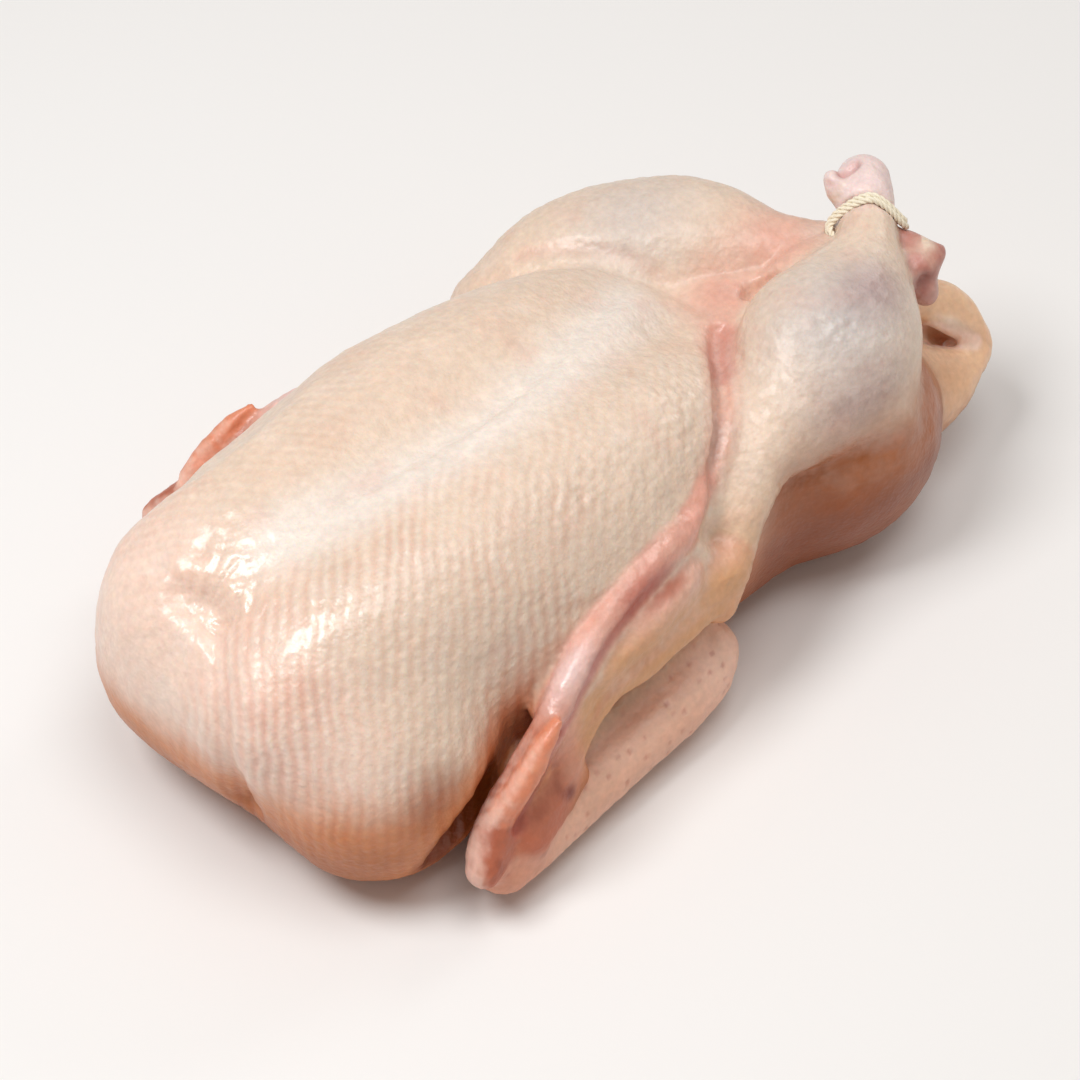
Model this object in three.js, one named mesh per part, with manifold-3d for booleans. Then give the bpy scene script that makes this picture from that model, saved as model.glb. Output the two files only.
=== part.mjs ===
// A whole raw duck, plucked and trussed: it lies on its back with the breast up, the wings folded
// at its sides, and the shanks crossed over the vent and tied with twine.
//
// Millimetres. +X runs from the neck end to the tail, +Y to the duck's left side, +Z up.
// The flesh is one solid. It is drawn as an implicit surface: each muscle and bone is a simple
// rounded form, and the forms are blended, so a fold is as soft or as sharp as its blend is wide.

import * as THREE from "three";
import { SimplifyModifier } from "three/addons/modifiers/SimplifyModifier.js";
import { mergeVertices } from "three/addons/utils/BufferGeometryUtils.js";
import Module from "manifold-3d";

// ---- Driving dimensions ---------------------------------------------------------------------

const LEFT_WING_MIRROR = 12.5; // the left wing is the right one mirrored about this y
const LEFT_WING_BACK = 6; // and folded this much further towards the tail,
const LEFT_WING_DIP = 0.1; // with its tail end lower, by this much for each millimetre of x
const WRIST_X = -65; // counted from here

const TWINE_RADIUS = 1.2;
const TWINE_TURNS = 2;
const TWINE_PITCH = 2.1;
const TWINE_GAP = 0.3;

const GRID_STEP = 2.2;
const FLESH_TRIANGLES = 9600;
const WIDEST_BLEND = 12; // of any blend with a limb

// ---- Forms: each is a function (x, y, z) -> distance, negative inside -------------------------

// A rounded block between an ellipsoid (power 2) and a box (large power). With `skew` its ends
// lean: x grows by skew for each millimetre of -y.
function lobe({ at, radii, power = 2, skew = 0 }) {
  const [cx, cy, cz] = at;
  const [a, b, c] = radii;
  const least = Math.min(a, b, c);
  return (x, y, z) => {
    const u = (x - cx + skew * (y - cy)) / a;
    const v = (y - cy) / b;
    const w = (z - cz) / c;
    const reach = (Math.abs(u) ** power + Math.abs(v) ** power + Math.abs(w) ** power) ** (1 / power);
    if (reach < 1e-6) return -least;
    const slope = Math.hypot(u / a, v / b, w / c) / Math.hypot(u, v, w);
    return (reach - 1) / slope;
  };
}

// The same field, worked out only near the ball round its points [x, y, z, radius]. Further off
// than any blend is wide, the distance to that ball does as well.
function nearby(points, field) {
  const ball = new THREE.Sphere().setFromPoints(points.map(([x, y, z]) => new THREE.Vector3(x, y, z)));
  const { x: cx, y: cy, z: cz } = ball.center;
  const reach = ball.radius + Math.max(...points.map((point) => point[3]));
  return (x, y, z) => {
    const away = Math.hypot(x - cx, y - cy, z - cz) - reach;
    return away > WIDEST_BLEND ? away : field(x, y, z);
  };
}

// A limb along a smooth curve through its stations [x, y, z, radius].
function limb(stations, steps = 5) {
  const line = new THREE.CatmullRomCurve3(
    stations.map(([x, y, z]) => new THREE.Vector3(x, y, z)), false, "catmullrom", 0.5);
  const girth = new THREE.SplineCurve(stations.map((s, i) => new THREE.Vector2(i, s[3])));
  const count = steps * (stations.length - 1);
  const beads = [];
  for (let i = 0; i <= count; i++) {
    const p = line.getPoint(i / count);
    beads.push([p.x, p.y, p.z, girth.getPoint(i / count).y]);
  }
  return nearby(beads, (x, y, z) => {
    let least = Infinity;
    for (let i = 0; i < count; i++) {
      const [ax, ay, az, ar] = beads[i];
      const [bx, by, bz, br] = beads[i + 1];
      const ex = bx - ax, ey = by - ay, ez = bz - az;
      const px = x - ax, py = y - ay, pz = z - az;
      const share = (px * ex + py * ey + pz * ez) / (ex * ex + ey * ey + ez * ez);
      const along = Math.min(1, Math.max(0, share));
      const qx = px - along * ex, qy = py - along * ey, qz = pz - along * ez;
      const gap = Math.sqrt(qx * qx + qy * qy + qz * qz) - ar - along * (br - ar);
      if (gap < least) least = gap;
    }
    return least;
  });
}

// A sheet of flesh `half` thick to each side, stretched between two edges given point by point.
function web(edgeA, edgeB, half) {
  const faces = [];
  for (let i = 0; i + 1 < edgeA.length; i++) {
    faces.push([edgeA[i], edgeB[i], edgeB[i + 1]], [edgeA[i], edgeB[i + 1], edgeA[i + 1]]);
  }
  const triangles = faces.map((face) =>
    new THREE.Triangle(...face.map(([x, y, z]) => new THREE.Vector3(x, y, z))));
  const point = new THREE.Vector3();
  const nearest = new THREE.Vector3();
  const rims = [...edgeA, ...edgeB].map((rim) => [...rim, half]);
  return nearby(rims, (x, y, z) => {
    let least = Infinity;
    for (const triangle of triangles) {
      triangle.closestPointToPoint(point.set(x, y, z), nearest);
      least = Math.min(least, point.distanceTo(nearest));
    }
    return least - half;
  });
}

// Joins two forms with a fillet about `soft` wide.
function blend(a, b, soft) {
  const h = Math.max(soft - Math.abs(a - b), 0) / soft;
  return Math.min(a, b) - (h * h * h * soft) / 6;
}

// Presses form b into form a, with an edge about `soft` wide.
function press(a, b, soft) {
  return -blend(-a, b, soft);
}

// ---- The trunk --------------------------------------------------------------------------------

const chest = lobe({ at: [-39, 12, 52], radii: [105, 66, 54], power: 2.8, skew: 0.14 });
const rear = lobe({ at: [68, 2, 38], radii: [78, 51, 42], power: 2.6 });
const rightBreast = lobe({ at: [-28, -12, 66], radii: [114, 39, 47], power: 2.2, skew: -0.15 });
const leftBreast = lobe({ at: [-28, 33, 66], radii: [112, 43, 47], power: 2.4 });
const rightShoulder = lobe({ at: [-94, -32, 42], radii: [38, 36, 44.5], power: 2.15 });
const leftShoulder = lobe({ at: [-100, 38, 41], radii: [42, 36, 38] });
const belly = lobe({ at: [92, 8, 50], radii: [58, 40, 40] });
const rightThigh = lobe({ at: [106, -25, 42], radii: [44, 37, 43] });
const leftThigh = lobe({ at: [98, 42, 44], radii: [46, 38, 43] });

function trunk(x, y, z) {
  let d = blend(chest(x, y, z), rear(x, y, z), 30);
  d = blend(d, blend(rightBreast(x, y, z), leftBreast(x, y, z), 14), 12);
  d = blend(d, rightShoulder(x, y, z), 16);
  d = blend(d, leftShoulder(x, y, z), 16);
  d = blend(d, belly(x, y, z), 16);
  return blend(d, blend(rightThigh(x, y, z), leftThigh(x, y, z), 20), 12);
}

// ---- The legs: each shank ends in the knob of its cut joint -----------------------------------

const SHANK_CROSSING = [146, 1];
const rightLeg = limb([
  [25, -59, 50, 8],
  [35, -54, 60, 8],
  [49, -45, 71, 10],
  [66, -37, 78, 14],
  [105, -27, 80, 27.5],
  [124, -18, 89, 19.5],
  [138, -7, 98, 11],
  [...SHANK_CROSSING, 101, 9.2],
]);
const rightInnerCalf = limb([
  [75, -28, 83, 11],
  [87, -21, 89, 15],
  [100, -17, 91, 20.5],
  [119, -14, 91, 17.5],
]);
const rightHam = limb([
  [111, -43, 67, 15],
  [109, -46, 55, 15],
]);
const legRoot = limb([
  [59, -24, 90, 4.5],
  [51, -31, 85, 4.5],
  [43, -37, 79, 4.5],
  [35, -43, 72, 4.5],
]);
const shankWeb = limb([
  [111, 7, 89, 5.5],
  [120, 7, 90, 7],
  [129, 4.5, 92, 7],
  [138, 3, 94, 6],
]);
const rightKnob = limb([
  [...SHANK_CROSSING, 101, 8],
  [151, 8, 103, 10],
  [155, 13, 104, 9.5],
]);
const rightKnobSide = limb([
  [150, 10, 101, 7],
  [146, 14, 105.5, 5.5],
  [144.5, 17, 109, 3.5],
]);
const leftLeg = limb([
  [50, 71, 58, 25.5],
  [76, 67, 66, 30],
  [104, 50, 72, 29],
  [122, 26, 82, 15],
  [136, 10, 87, 9.5],
  [...SHANK_CROSSING, 90, 8.5],
]);
const leftKnob = limb([
  [...SHANK_CROSSING, 90, 8],
  [152, -10, 90.5, 8],
  [154, -17, 91, 7.5],
]);
const leftKnobCorner = limb([
  [154.5, -19, 91, 5.8],
  [160, -19.5, 92.5, 3.4],
]);
const leftKnobSide = limb([
  [150, -18.5, 90, 6.8],
  [152, -23, 81, 4.5],
]);
const leftKnobHole = limb([
  [149, -25, 91, 2.5],
  [149, -27, 87, 3],
]);

function rightShank(x, y, z) {
  let d = blend(rightLeg(x, y, z), rightInnerCalf(x, y, z), 12);
  d = blend(d, rightHam(x, y, z), 12);
  d = blend(d, legRoot(x, y, z), 10);
  d = blend(d, rightKnob(x, y, z), 4);
  return blend(d, rightKnobSide(x, y, z), 2);
}

function leftShank(x, y, z) {
  let d = blend(leftLeg(x, y, z), leftKnob(x, y, z), 4);
  d = blend(d, leftKnobCorner(x, y, z), 2);
  d = blend(d, leftKnobSide(x, y, z), 3);
  return press(d, leftKnobHole(x, y, z), 1.5);
}

// ---- The tail: a thick lower lobe, and a flap with a rolled edge folded over a hollow ----------

const tailLobe = limb([
  [133, -19, 37, 24],
  [155, -29, 38, 14],
  [173, -32, 42, 5.3],
]);
const tailFlap = limb([
  [150, -6, 64, 9],
  [170, -12, 57, 7.7],
  [177, -19, 51, 6.7],
  [179, -27, 45, 5],
  [179, -31, 41, 3],
]);
const tailCore = limb([
  [156, -8, 48, 9],
  [173, -15, 41, 6],
  [178, -20, 40, 4],
]);
const tailFlapRoll = limb([
  [162, -18, 58, 2.6],
  [168, -23, 54, 3.3],
  [174, -28, 49, 3.3],
  [178, -32, 44, 2.2],
]);
const tailHollow = limb([
  [161, -21, 53, 4],
  [167, -25, 51, 3.3],
  [173, -30, 48, 2],
]);

function tail(x, y, z) {
  let d = blend(tailLobe(x, y, z), tailFlap(x, y, z), 4);
  d = blend(d, tailCore(x, y, z), 3);
  d = press(d, tailHollow(x, y, z), 2);
  return blend(d, tailFlapRoll(x, y, z), 1.5);
}

// ---- The right wing: the hand runs up the flank from wrist to tip, over the forearm ----------

const HAND_LEAD = [
  [-89, -79, 25],
  [-84, -76, 30],
  [-75, -72, 39],
  [-59, -69, 52],
  [-41, -63, 65],
  [-24, -57, 72],
  [5, -51, 80],
  [16, -48, 82],
];
const LEAD_GIRTH = [6.3, 7, 6, 5.6, 5, 5.4, 5.1, 4.5];
const HAND_TRAIL = [
  [-69, -80, 22],
  [-56, -74, 29],
  [-46, -69, 36],
  [-38, -66, 41],
  [-25, -64, 48],
  [-11, -65, 50],
  [14, -63, 53],
  [30, -58, 53],
];
const handEdge = limb(HAND_LEAD.map((point, i) => [...point, LEAD_GIRTH[i]]));
const handSheet = web(HAND_LEAD, HAND_TRAIL, 3.8);
const handHeel = limb([
  [-71, -76, 26, 8],
  [-51, -70, 35, 6],
  [-29, -61, 47, 5.5],
  [-4, -58, 53, 8],
  [18, -54, 56, 10],
  [31, -56, 60, 8.5],
]);
const handPalm = limb([
  [-30, -62, 58, 5],
  [-8, -60, 64, 6.5],
  [12, -56, 68, 6.5],
]);
const handTip = limb([
  [2, -53, 76, 5],
  [19, -49, 81, 4.8],
  [35, -42, 87, 2],
]);
const thumb = limb([
  [-78, -75, 41, 4.2],
  [-71, -75, 48, 4.2],
  [-64, -74, 54, 3.8],
  [-58, -73, 60, 3],
  [-52, -72, 64, 1.6],
]);
const handRoot = limb([
  [-50, -59, 53.5, 3.5],
  [-42, -57, 59, 5],
  [-30, -54, 64, 5],
]);
const wristSkin = limb([
  [-46, -71, 29, 5.7],
  [-58, -75, 25.5, 5.7],
  [-71, -78, 22, 5.7],
]);
const wingWeb = limb([
  [-68, -56, 25, 6],
  [-59, -56, 30, 6.5],
  [-48, -60, 26, 5],
  [-26, -58, 22, 6],
  [-4, -56, 24, 6],
  [24, -54, 28, 7],
]);
const forearm = limb([
  [-79, -76, 16, 10],
  [-62, -74, 14, 9.5],
  [-34, -69, 14, 10],
  [-7, -65, 15, 11],
  [16, -60, 17, 12.5],
  [24, -56, 20, 12],
]);

function wing(x, y, z) {
  let d = blend(handEdge(x, y, z), handSheet(x, y, z), 3);
  d = blend(d, handHeel(x, y, z), 6);
  d = blend(d, handPalm(x, y, z), 5);
  d = blend(d, wristSkin(x, y, z), 4);
  d = blend(d, handTip(x, y, z), 2);
  d = blend(d, handRoot(x, y, z), 6);
  d = blend(d, wingWeb(x, y, z), 3);
  d = blend(d, thumb(x, y, z), 1.5);
  return blend(d, forearm(x, y, z), 3);
}

// ---- Folds and pits in the skin, as thin limbs pressed into it --------------------------------

const breastRearFold = limb([
  [53, 74, 88, 1],
  [63, 64, 93, 2],
  [76, 48, 94, 2.5],
  [83, 34, 89, 2.5],
  [83, 14, 91, 2],
]);
const legFold = limb([
  [80, 3, 90, 2],
  [68, -10, 93, 3.5],
  [58, -22, 95, 3.5],
  [50, -31, 93.5, 2.5],
  [43, -37, 90, 2],
  [35, -44, 87, 1.5],
]);
const ventPit = limb([
  [99, 9.5, 89, 3],
  [104, 9, 88, 4.5],
  [109, 7, 92, 3],
]);
const flankHollow = limb([
  [-59, -66, 55, 2.5],
  [-66, -67, 48, 5.5],
  [-72, -68, 43, 7.5],
  [-80, -69, 37, 8.5],
  [-89, -70, 29, 9.5],
  [-97, -71, 17, 9.5],
]);
const leftBreastHollow = limb([
  [-106, 95, 102, 36],
  [-96, 91.5, 109, 36],
  [-85, 89, 113.5, 36],
  [-73, 90, 116, 36],
  [-61, 92.5, 118, 36],
]);
const neckCleft = limb([
  [-126, 6, 94, 2],
  [-139, -10, 87, 4.5],
  [-144, -18, 68, 5],
  [-141, -18, 48, 5],
  [-135, -16, 32, 4],
]);
const neckDimple = limb([
  [-123, 9, 97, 5],
  [-127, 20, 97, 5],
]);
const knobFold = limb([
  [144, 16, 109, 1.2],
  [152, 15, 113, 1.2],
]);

// ---- The flesh as one form --------------------------------------------------------------------

function flesh(x, y, z) {
  const leftX = x - LEFT_WING_BACK;
  const leftY = 2 * LEFT_WING_MIRROR - y;
  const leftZ = z + LEFT_WING_DIP * (x - WRIST_X);
  let d = blend(trunk(x, y, z), tail(x, y, z), 6);
  d = press(d, breastRearFold(x, y, z), 8);
  d = press(d, neckCleft(x, y, z), 10);
  d = press(d, neckDimple(x, y, z), 8);
  d = press(d, leftBreastHollow(x, y, z), 10);
  d = press(d, flankHollow(x, y, z), 4);
  d = press(d, flankHollow(leftX, leftY, leftZ), 4);
  d = blend(d, shankWeb(x, y, z), 10);
  d = blend(d, rightShank(x, y, z), 4);
  d = blend(d, leftShank(x, y, z), 4);
  d = press(d, legFold(x, y, z), 4);
  d = press(d, ventPit(x, y, z), 2);
  d = press(d, knobFold(x, y, z), 2);
  d = blend(d, wing(x, y, z), 3);
  return blend(d, wing(leftX, leftY, leftZ), 3);
}

// ---- Meshing ----------------------------------------------------------------------------------

// A grid cell's eight corners, and its edges as pairs of corners.
const CORNERS = [];
const EDGES = [];
for (let c = 0; c < 8; c++) {
  CORNERS.push([c & 1, (c >> 1) & 1, (c >> 2) & 1]);
  for (const bit of [1, 2, 4]) if (!(c & bit)) EDGES.push([c, c | bit]);
}

// How many separate groups the chosen corners of a cell form, joined along its edges.
function groupsOf(chosen) {
  const group = CORNERS.map((_, c) => c);
  for (let pass = 0; pass < 8; pass++)
    for (const [a, b] of EDGES)
      if (chosen[a] && chosen[b]) group[a] = group[b] = Math.min(group[a], group[b]);
  return new Set(group.filter((_, c) => chosen[c])).size;
}

// For each pattern of corners inside the flesh: does the surface pinch in such a cell?
const PINCHES = Array.from({ length: 256 }, (_, pattern) => {
  const inside = CORNERS.map((_, c) => Boolean(pattern & (1 << c)));
  return groupsOf(inside) > 1 || groupsOf(inside.map((within) => !within)) > 1;
});

// The zero surface of a field inside a box, as one vertex for each grid cell that the surface
// crosses and two triangles for each grid edge that it cuts.
function surfaceOf(field, low, high, step) {
  const [nx, ny, nz] = low.map((v, i) => Math.ceil((high[i] - v) / step) + 1);
  const at = (i, j, k) => (k * ny + j) * nx + i;
  const offsets = CORNERS.map(([a, b, c]) => at(a, b, c));
  const value = new Float32Array(nx * ny * nz);
  for (let k = 0; k < nz; k++)
    for (let j = 0; j < ny; j++)
      for (let i = 0; i < nx; i++)
        value[at(i, j, k)] = field(low[0] + i * step, low[1] + j * step, low[2] + k * step);

  // Where two surfaces meet in one cell, the narrow gap between them is filled.
  for (let filled = true; filled; ) {
    filled = false;
    for (let k = 0; k < nz - 1; k++)
      for (let j = 0; j < ny - 1; j++)
        for (let i = 0; i < nx - 1; i++) {
          const own = offsets.map((offset) => at(i, j, k) + offset);
          const pattern = own.reduce((bits, index, c) => bits | (value[index] < 0 ? 1 << c : 0), 0);
          if (!PINCHES[pattern]) continue;
          const gap = own.filter((index) => value[index] >= 0);
          gap.sort((a, b) => value[a] - value[b]);
          value[gap[0]] = -0.1 * step;
          filled = true;
        }
  }

  const positions = [];
  const vertexOf = new Int32Array(value.length).fill(-1);
  for (let k = 0; k < nz - 1; k++)
    for (let j = 0; j < ny - 1; j++)
      for (let i = 0; i < nx - 1; i++) {
        const v = offsets.map((offset) => value[at(i, j, k) + offset]);
        const sum = [0, 0, 0];
        let cuts = 0;
        for (const [a, b] of EDGES) {
          if (v[a] < 0 === v[b] < 0) continue;
          const t = v[a] / (v[a] - v[b]);
          for (let n = 0; n < 3; n++) sum[n] += CORNERS[a][n] + t * (CORNERS[b][n] - CORNERS[a][n]);
          cuts++;
        }
        if (!cuts) continue;
        vertexOf[at(i, j, k)] = positions.length / 3;
        const cell = [i, j, k];
        for (let n = 0; n < 3; n++) positions.push(low[n] + step * (cell[n] + sum[n] / cuts));
      }

  const triangles = [];
  const unit = [[1, 0, 0], [0, 1, 0], [0, 0, 1]];
  for (let k = 1; k < nz - 1; k++)
    for (let j = 1; j < ny - 1; j++)
      for (let i = 1; i < nx - 1; i++)
        for (let n = 0; n < 3; n++) {
          const e = unit[n];
          const inside = value[at(i, j, k)] < 0;
          if (inside === value[at(i + e[0], j + e[1], k + e[2])] < 0) continue;
          const u = unit[(n + 1) % 3], w = unit[(n + 2) % 3];
          const cellAt = (p, q) =>
            vertexOf[at(i - p * u[0] - q * w[0], j - p * u[1] - q * w[1], k - p * u[2] - q * w[2])];
          const quad = [cellAt(1, 1), cellAt(0, 1), cellAt(0, 0), cellAt(1, 0)];
          if (!inside) quad.reverse();
          triangles.push(quad[0], quad[1], quad[2], quad[0], quad[2], quad[3]);
        }
  const geometry = new THREE.BufferGeometry();
  geometry.setAttribute("position", new THREE.Float32BufferAttribute(positions, 3));
  geometry.setIndex(triangles);
  return geometry;
}

// The same surface with fewer triangles, kept where it curves.
async function thinned(geometry, triangles) {
  const surplus = geometry.getAttribute("position").count - triangles / 2;
  return surplus > 0 ? new SimplifyModifier().modify(geometry, surplus) : geometry;
}

const wasm = await Module();
wasm.setup();

function solidOf(geometry) {
  const bare = new THREE.BufferGeometry();
  bare.setAttribute("position", geometry.getAttribute("position"));
  bare.setIndex(geometry.getIndex());
  const merged = mergeVertices(bare, 1e-4);
  return new wasm.Manifold(new wasm.Mesh({
    numProp: 3,
    vertProperties: new Float32Array(merged.getAttribute("position").array),
    triVerts: new Uint32Array(merged.getIndex().array),
  }));
}

function geometryOf(solid) {
  const mesh = solid.getMesh();
  const geometry = new THREE.BufferGeometry();
  geometry.setAttribute("position", new THREE.BufferAttribute(mesh.vertProperties, 3));
  geometry.setIndex(new THREE.BufferAttribute(mesh.triVerts, 1));
  return geometry;
}

// ---- The twine: turns side by side, over the right shank and under the left one ---------------

// The middle turn, as offsets from the point where the shanks cross.
const TURN_PATH = [
  [0, 0, 111.6],
  [9.4, -8.2, 100],
  [12.6, -0.5, 95],
  [8.5, 7.5, 88],
  [0, 0, 79.5],
  [-8.5, -7.5, 88],
  [-12.6, 0.5, 95],
  [-9.4, 8.2, 100],
].map(([x, y, z]) => new THREE.Vector3(SHANK_CROSSING[0] + x, SHANK_CROSSING[1] + y, z));
const middleTurn = new THREE.CatmullRomCurve3(TURN_PATH, true, "centripetal");
const turnCentre = new THREE.Vector3(...SHANK_CROSSING, 95.5);

function twineOf(radius) {
  const samples = 48;
  let solid = null;
  for (let turn = 0; turn < TWINE_TURNS; turn++) {
    const aside = (turn - (TWINE_TURNS - 1) / 2) * TWINE_PITCH;
    const points = [];
    for (let i = 0; i < samples; i++) {
      const point = middleTurn.getPointAt(i / samples);
      const outward = point.clone().sub(turnCentre).normalize();
      const across = middleTurn.getTangentAt(i / samples).cross(outward).normalize();
      points.push(point.addScaledVector(across, aside));
    }
    const path = new THREE.CatmullRomCurve3(points, true);
    const tube = solidOf(new THREE.TubeGeometry(path, 56, radius, 8, true));
    solid = solid ? solid.add(tube) : tube;
  }
  return solid;
}

// ---- The object -------------------------------------------------------------------------------

const skin = await thinned(
  surfaceOf(flesh, [-165, -110, -12], [195, 125, 140], GRID_STEP), FLESH_TRIANGLES);
const floor = new THREE.BoxGeometry(600, 600, 40);
floor.translate(0, 0, -20);
const duck = solidOf(skin).subtract(solidOf(floor)).subtract(twineOf(TWINE_RADIUS + TWINE_GAP));

function part(name, solid, material) {
  const mesh = new THREE.Mesh(geometryOf(solid), material);
  mesh.name = name;
  return mesh;
}

const whole = new THREE.Group();
whole.add(part("duck", duck, new THREE.MeshStandardMaterial({
  name: "skin", color: 0xe8cdb8, roughness: 0.45, metalness: 0 })));
whole.add(part("twine", twineOf(TWINE_RADIUS), new THREE.MeshStandardMaterial({
  name: "twine", color: 0xe6dcb4, roughness: 0.85, metalness: 0 })));

// The origin is the middle of the footprint, on the surface that the duck lies on.
const extent = new THREE.Box3().setFromObject(whole);
const middle = extent.getCenter(new THREE.Vector3());
whole.position.set(-middle.x, -middle.y, -extent.min.z);

export default whole;
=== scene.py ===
"""A whole raw duck on its back, plucked and trussed: skin with follicles, folds and colour, and twine.

The flesh is the CAD solid made smooth and fine, then given relief and tints by functions of place.
Places, heights and widths are in millimetres, in the frame that the CAD source draws in, which is MIDDLE
away from the row frame. The last number of each noise, cloud, pebbles or scatter call is its seed.
"""

import math

import bpy
import numpy as np
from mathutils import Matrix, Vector


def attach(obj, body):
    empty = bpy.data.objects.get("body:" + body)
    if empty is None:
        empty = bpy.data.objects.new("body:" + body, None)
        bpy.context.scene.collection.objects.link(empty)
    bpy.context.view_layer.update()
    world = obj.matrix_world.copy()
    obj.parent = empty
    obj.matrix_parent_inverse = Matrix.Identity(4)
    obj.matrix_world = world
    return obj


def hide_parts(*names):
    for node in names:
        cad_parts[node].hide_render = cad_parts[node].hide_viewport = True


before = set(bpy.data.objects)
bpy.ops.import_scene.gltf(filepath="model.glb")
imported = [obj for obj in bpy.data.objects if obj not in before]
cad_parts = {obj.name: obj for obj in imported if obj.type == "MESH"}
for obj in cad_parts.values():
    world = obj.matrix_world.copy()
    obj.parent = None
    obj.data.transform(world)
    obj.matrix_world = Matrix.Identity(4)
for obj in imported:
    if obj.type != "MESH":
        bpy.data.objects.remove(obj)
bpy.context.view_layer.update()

MM = 0.001
MIDDLE = np.array([18.80, 12.48, 0.0])  # the middle of the footprint, as the CAD source draws it

SKIN_STEP = 0.95  # mm between the skin's vertices
ROUNDING = 0.75  # how far a facet bulges towards the curve that its corners' normals ask for
STEP_BACK = 1.03  # in smoothing, the step back out for each step in, so that the duck doesn't shrink


# ---- Curves and fields --------------------------------------------------------------------------


def smooth_step(low, high, value):
    """0 below low, 1 above high, and a smooth rise between; low may be the larger."""
    share = np.clip((value - low) / (high - low), 0, 1)
    return share * share * (3 - 2 * share)


def curve(points, steps=6, closed=False):
    """A Catmull-Rom curve through the points, with `steps` pieces for each span."""
    points = np.array(points, float)
    if closed:
        points = np.concatenate([points[-1:], points, points[:2]])
    else:
        points = np.concatenate([2 * points[:1] - points[1:2], points, 2 * points[-1:] - points[-2:-1]])
    made = []
    for a, b, c, d in zip(points, points[1:], points[2:], points[3:]):
        for t in np.arange(steps) / steps:
            made.append(
                b + 0.5 * t * (c - a + t * (2 * a - 5 * b + 4 * c - d + t * (3 * (b - c) + d - a)))
            )
    if not closed:
        made.append(points[-2])
    return np.array(made)


def near_line(places, line, reach):
    """For each place: its distance from the polyline, and how far along it the nearest point is, in mm.

    Places further off than `reach` from the line's box keep a distance of `reach` and a length of 0.
    """
    away = np.full(len(places), float(reach))
    along = np.zeros(len(places))
    line = np.asarray(line)[:, :3]
    near = np.where(
        ((places > line.min(0) - reach) & (places < line.max(0) + reach)).all(1)
    )[0]
    here = places[near]
    best = away[near]
    best_along = along[near]
    done = 0.0
    for start, end in zip(line, line[1:]):
        step = end - start
        length = np.linalg.norm(step)
        share = np.clip((here - start) @ step / length**2, 0, 1)
        gap = np.linalg.norm(here - start - share[:, None] * step, axis=1)
        closer = gap < best
        best = np.where(closer, gap, best)
        best_along = np.where(closer, done + share * length, best_along)
        done += length
    away[near] = best
    along[near] = best_along
    return away, along


def limb_gap(places, stations, reach=25):
    """How far each place is outside a limb through stations [x, y, z, radius], and its share along it."""
    beads = curve(stations)
    line = beads[:, :3]
    away, along = near_line(places, line, reach + beads[:, 3].max())
    marks = np.concatenate([[0], np.cumsum(np.linalg.norm(np.diff(line, axis=0), axis=1))])
    girth = np.interp(along, marks, beads[:, 3])
    return away - girth, along / marks[-1]


def ball(places, at, radius):
    """1 at a point, falling smoothly to 0 at `radius` from it; radius may be one for each axis."""
    return smooth_step(1, 0, np.linalg.norm((places - np.array(at, float)) / radius, axis=1))


def scatter(cell, seed):
    """A number from -1 to 1 for each whole-number cell, the same on every run."""
    mixed = (cell[..., 0] * 73856093) ^ (cell[..., 1] * 19349663) ^ (cell[..., 2] * 83492791)
    mixed = mixed ^ (seed * 40503 + 12345)
    mixed = ((mixed ^ (mixed >> 13)) * 1274126177) & 0x7FFFFFFF
    mixed = ((mixed ^ (mixed >> 15)) * 668265263) & 0x7FFFFFFF
    return mixed / 0x3FFFFFFF - 1


def noise(places, size, seed):
    """Smooth noise from -1 to 1 that changes over about `size` mm; size may be one for each axis."""
    scaled = places / size
    cell = np.floor(scaled).astype(np.int64)
    share = scaled - cell
    share = share * share * (3 - 2 * share)
    total = np.zeros(len(places))
    for corner in range(8):
        step = np.array([corner & 1, corner >> 1 & 1, corner >> 2 & 1])
        weight = np.prod(np.where(step, share, 1 - share), axis=1)
        total += weight * scatter(cell + step, seed)
    return total


def cloud(places, size, seed):
    """Noise of three sizes at once."""
    return (
        noise(places, size, seed)
        + 0.5 * noise(places, np.array(size) / 2.1, seed + 1)
        + 0.25 * noise(places, np.array(size) / 4.3, seed + 2)
    ) / 1.4


def pebbles(places, size, seed):
    """Round bumps, one in each cell of a shaken grid: 1 at a bump's top, 0 at `size` from it."""
    scaled = places / size
    cell = np.floor(scaled).astype(np.int64)
    nearest = np.full(len(places), 4.0)
    for index in range(27):
        step = np.array([index % 3, index // 3 % 3, index // 9]) - 1
        there = cell + step
        gap = np.zeros(len(places))
        for axis in range(3):
            place = there[:, axis] + 0.5 + 0.38 * scatter(there, seed + axis)
            gap += (scaled[:, axis] - place) ** 2
        nearest = np.minimum(nearest, gap)
    return np.clip(1 - np.sqrt(nearest), 0, 1)


# ---- The forms that the relief and the tints follow, as the CAD source draws them ---------------
# Three numbers are a place; a fourth one is the limb's radius there.

RIGHT_LEG = [
    [25, -59, 50, 8], [35, -54, 60, 8], [49, -45, 71, 10], [66, -37, 78, 14],
    [105, -27, 80, 27.5], [124, -18, 89, 19.5], [138, -7, 98, 11], [146, 1, 101, 9.2],
]
RIGHT_INNER_CALF = [[75, -28, 83, 11], [87, -21, 89, 15], [100, -17, 91, 20.5], [119, -14, 91, 17.5]]
LEFT_LEG = [
    [50, 71, 58, 25.5], [76, 67, 66, 30], [104, 50, 72, 29], [122, 26, 82, 15],
    [136, 10, 87, 9.5], [146, 1, 90, 8.5],
]
RIGHT_KNOB = [[146, 1, 101, 8], [151, 8, 103, 10], [155, 13, 104, 9.5]]
RIGHT_KNOB_SIDE = [[150, 10, 101, 7], [144.5, 17, 109, 3.5]]
LEFT_KNOB = [[146, 1, 90, 8], [152, -10, 90.5, 8], [154.5, -19, 91, 5.8], [160, -19.5, 92.5, 3.4]]
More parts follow.
